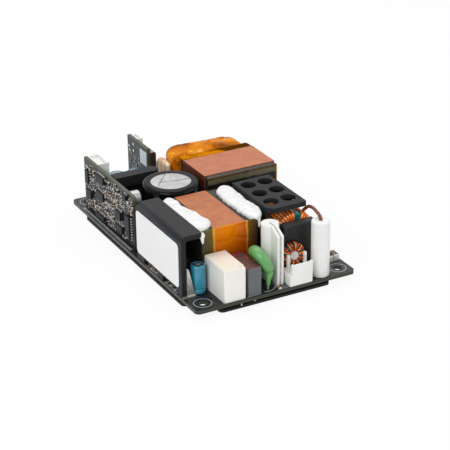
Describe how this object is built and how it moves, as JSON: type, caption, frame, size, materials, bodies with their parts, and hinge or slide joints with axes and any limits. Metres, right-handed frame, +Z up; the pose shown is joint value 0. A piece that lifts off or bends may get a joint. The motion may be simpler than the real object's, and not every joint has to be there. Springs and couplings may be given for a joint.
{
  "type": "open-frame power supply",
  "caption": "Open-frame medical power supply: a dense circuit board on a base plate, with heatsink, transformer, chokes, capacitors and pin headers.",
  "frame": {"origin": "under the middle of the base plate, on its underside", "axes": "+X across the board to the right, +Y along the board from the input side to the output side, +Z up"},
  "size_m": [0.0762, 0.127, 0.0324],
  "materials": {
    "board": "satin",
    "plate": "anodised",
    "pad": "matte",
    "dark_heatsink": "anodised",
    "label": "satin",
    "tinned": "bright",
    "black_moulding": "satin",
    "can": "satin",
    "black_sleeve": "gloss",
    "blue_sleeve": "gloss",
    "white_moulding": "satin",
    "grey_moulding": "satin",
    "green_coating": "satin",
    "green_core": "gloss",
    "red_wire": "gloss",
    "gold_wire": "gloss",
    "copper_wire": "gloss",
    "brown_wire": "satin",
    "black_cover": "matte",
    "ferrite": "matte",
    "tape": "gloss",
    "copper_band": "satin",
    "wrap": "satin",
    "silicone": "satin",
    "chip_body": "satin",
    "brown_coating": "satin",
    "blue_coating": "satin"
  },
  "bodies": {
    "root": {"main_board": "board", "base_plate": "plate", "gap_pads": "pad", "mains_heatsink": "dark_heatsink", "blank_label": "label", "gusset_tab": "tinned", "transistor_insulator": "pad", "device_tabs": "tinned", "device_bodies": "black_moulding", "bulk_can": "can", "bulk_sleeve": "black_sleeve", "aux_can": "can", "aux_sleeve": "blue_sleeve", "relay": "white_moulding", "film_capacitor": "grey_moulding", "box_capacitor": "black_moulding", "varistor": "green_coating", "varistor_leads": "tinned", "fuse_holder_left": "white_moulding", "fuse_holder_right": "white_moulding", "fuse_left": "tinned", "fuse_right": "tinned", "connector_pins": "tinned", "input_connector": "white_moulding", "output_connector": "white_moulding", "small_choke_core": "green_core", "small_choke_winding_red": "red_wire", "small_choke_winding_gold": "gold_wire", "small_choke_mount": "white_moulding", "line_choke_core": "green_core", "line_choke_winding_left": "copper_wire", "line_choke_winding_right": "copper_wire", "choke_lead": "brown_wire", "filter_choke_core": "green_core", "filter_choke_winding": "copper_wire", "choke_cover": "black_cover", "pfc_choke_core": "ferrite", "pfc_choke_coil": "tape", "pfc_choke_base": "black_moulding", "pfc_choke_band": "copper_band", "transformer_core": "ferrite", "transformer_bobbin": "black_moulding", "transformer_coil": "tape", "transformer_band": "copper_band", "lead_wrap": "wrap", "silicone_beads": "silicone", "bar_heatsink": "dark_heatsink", "output_cans": "can", "output_sleeves": "blue_sleeve", "control_board": "board", "control_chips": "black_moulding", "chip_leads": "tinned", "chip_parts": "chip_body", "chip_ends": "tinned", "control_capacitor": "can", "board_sockets": "white_moulding", "output_board": "board", "stacked_capacitor": "brown_coating", "safety_capacitors": "blue_coating", "solder_joints": "tinned"}
  },
  "joints": []
}
